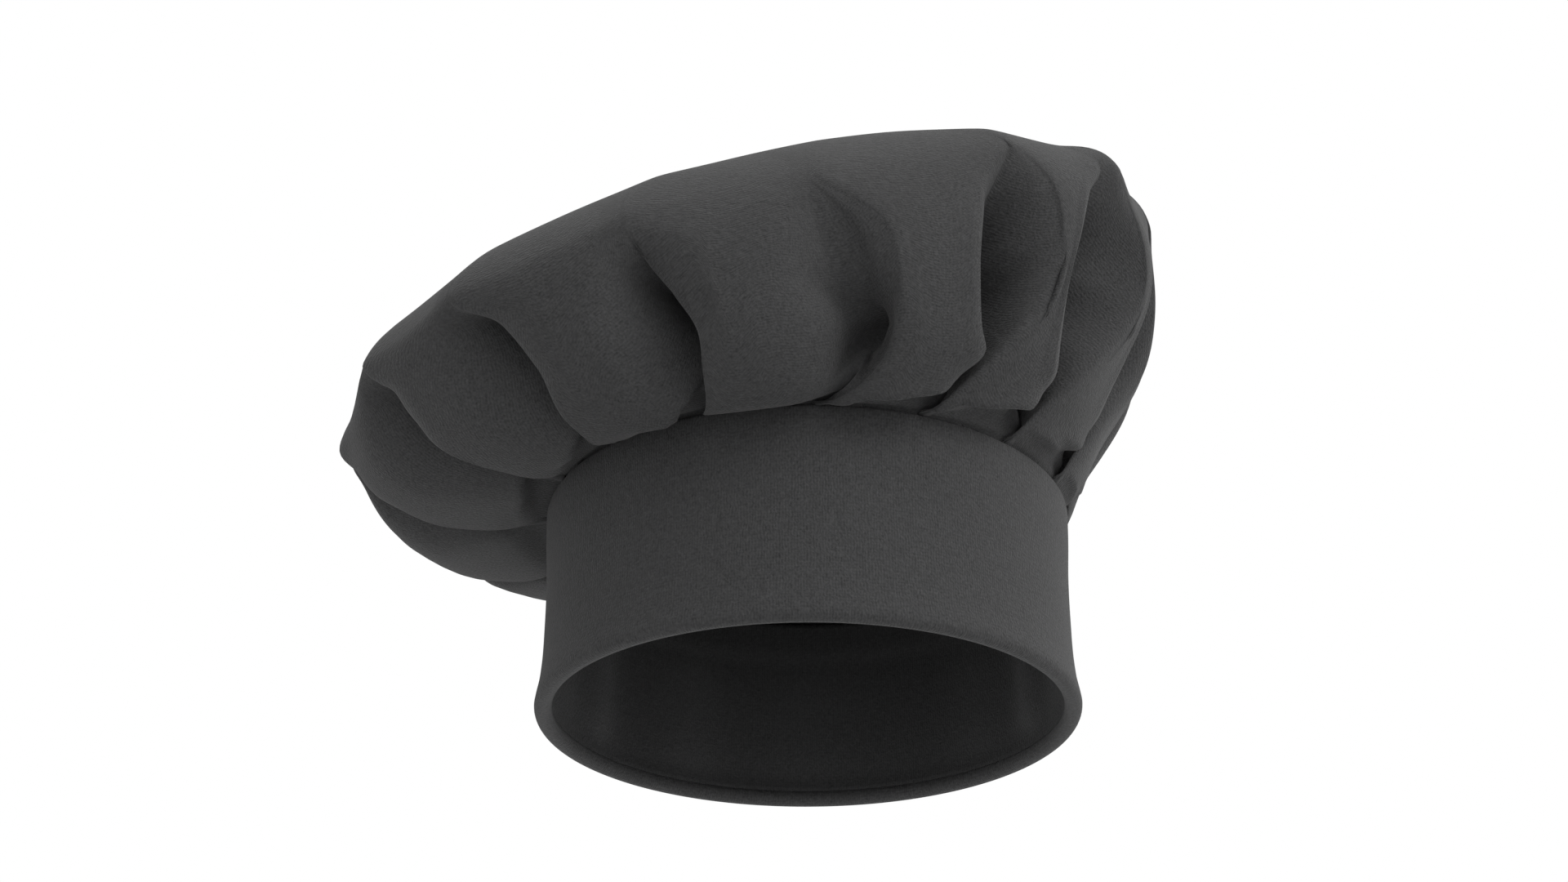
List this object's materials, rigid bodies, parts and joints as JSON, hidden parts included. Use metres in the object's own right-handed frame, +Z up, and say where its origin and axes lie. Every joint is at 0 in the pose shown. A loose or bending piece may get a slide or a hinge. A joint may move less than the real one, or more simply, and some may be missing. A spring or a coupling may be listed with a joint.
{
  "type": "chef toque",
  "caption": "Floppy chef hat: a stiffened round cloth band with a rolled hem, and a full pleated crown that droops to one side.",
  "frame": {"origin": "centre of the head opening, in the plane of the rim that the hat stands on", "axes": "+Z up along the band's axis, the front of the hat faces -Y, and the crown flops towards -X"},
  "size_m": [0.3058, 0.2811, 0.212],
  "materials": {
    "crown_cloth": "matt fine-ribbed charcoal cloth",
    "lining_cloth": "matt charcoal cloth, worn side",
    "interlining": "stiff bonded sheet",
    "elastic": "braided elastic tape",
    "thread": "spun thread"
  },
  "bodies": {
    "band": {"band_outer": "crown_cloth", "band_lining": "lining_cloth", "band_interlining": "interlining", "back_elastic": "elastic", "hem_thread": "thread", "crown_seam_allowance": "crown_cloth", "crown_seam_thread": "thread"},
    "crown": {"crown_pouf": "crown_cloth"}
  },
  "joints": [
    {"name": "crown_flop", "type": "hinge", "parent": "band", "child": "crown", "pos_m": [0, 0, 0.079], "axis": [0, 1, 0], "range_deg": [0, 15]}
  ]
}
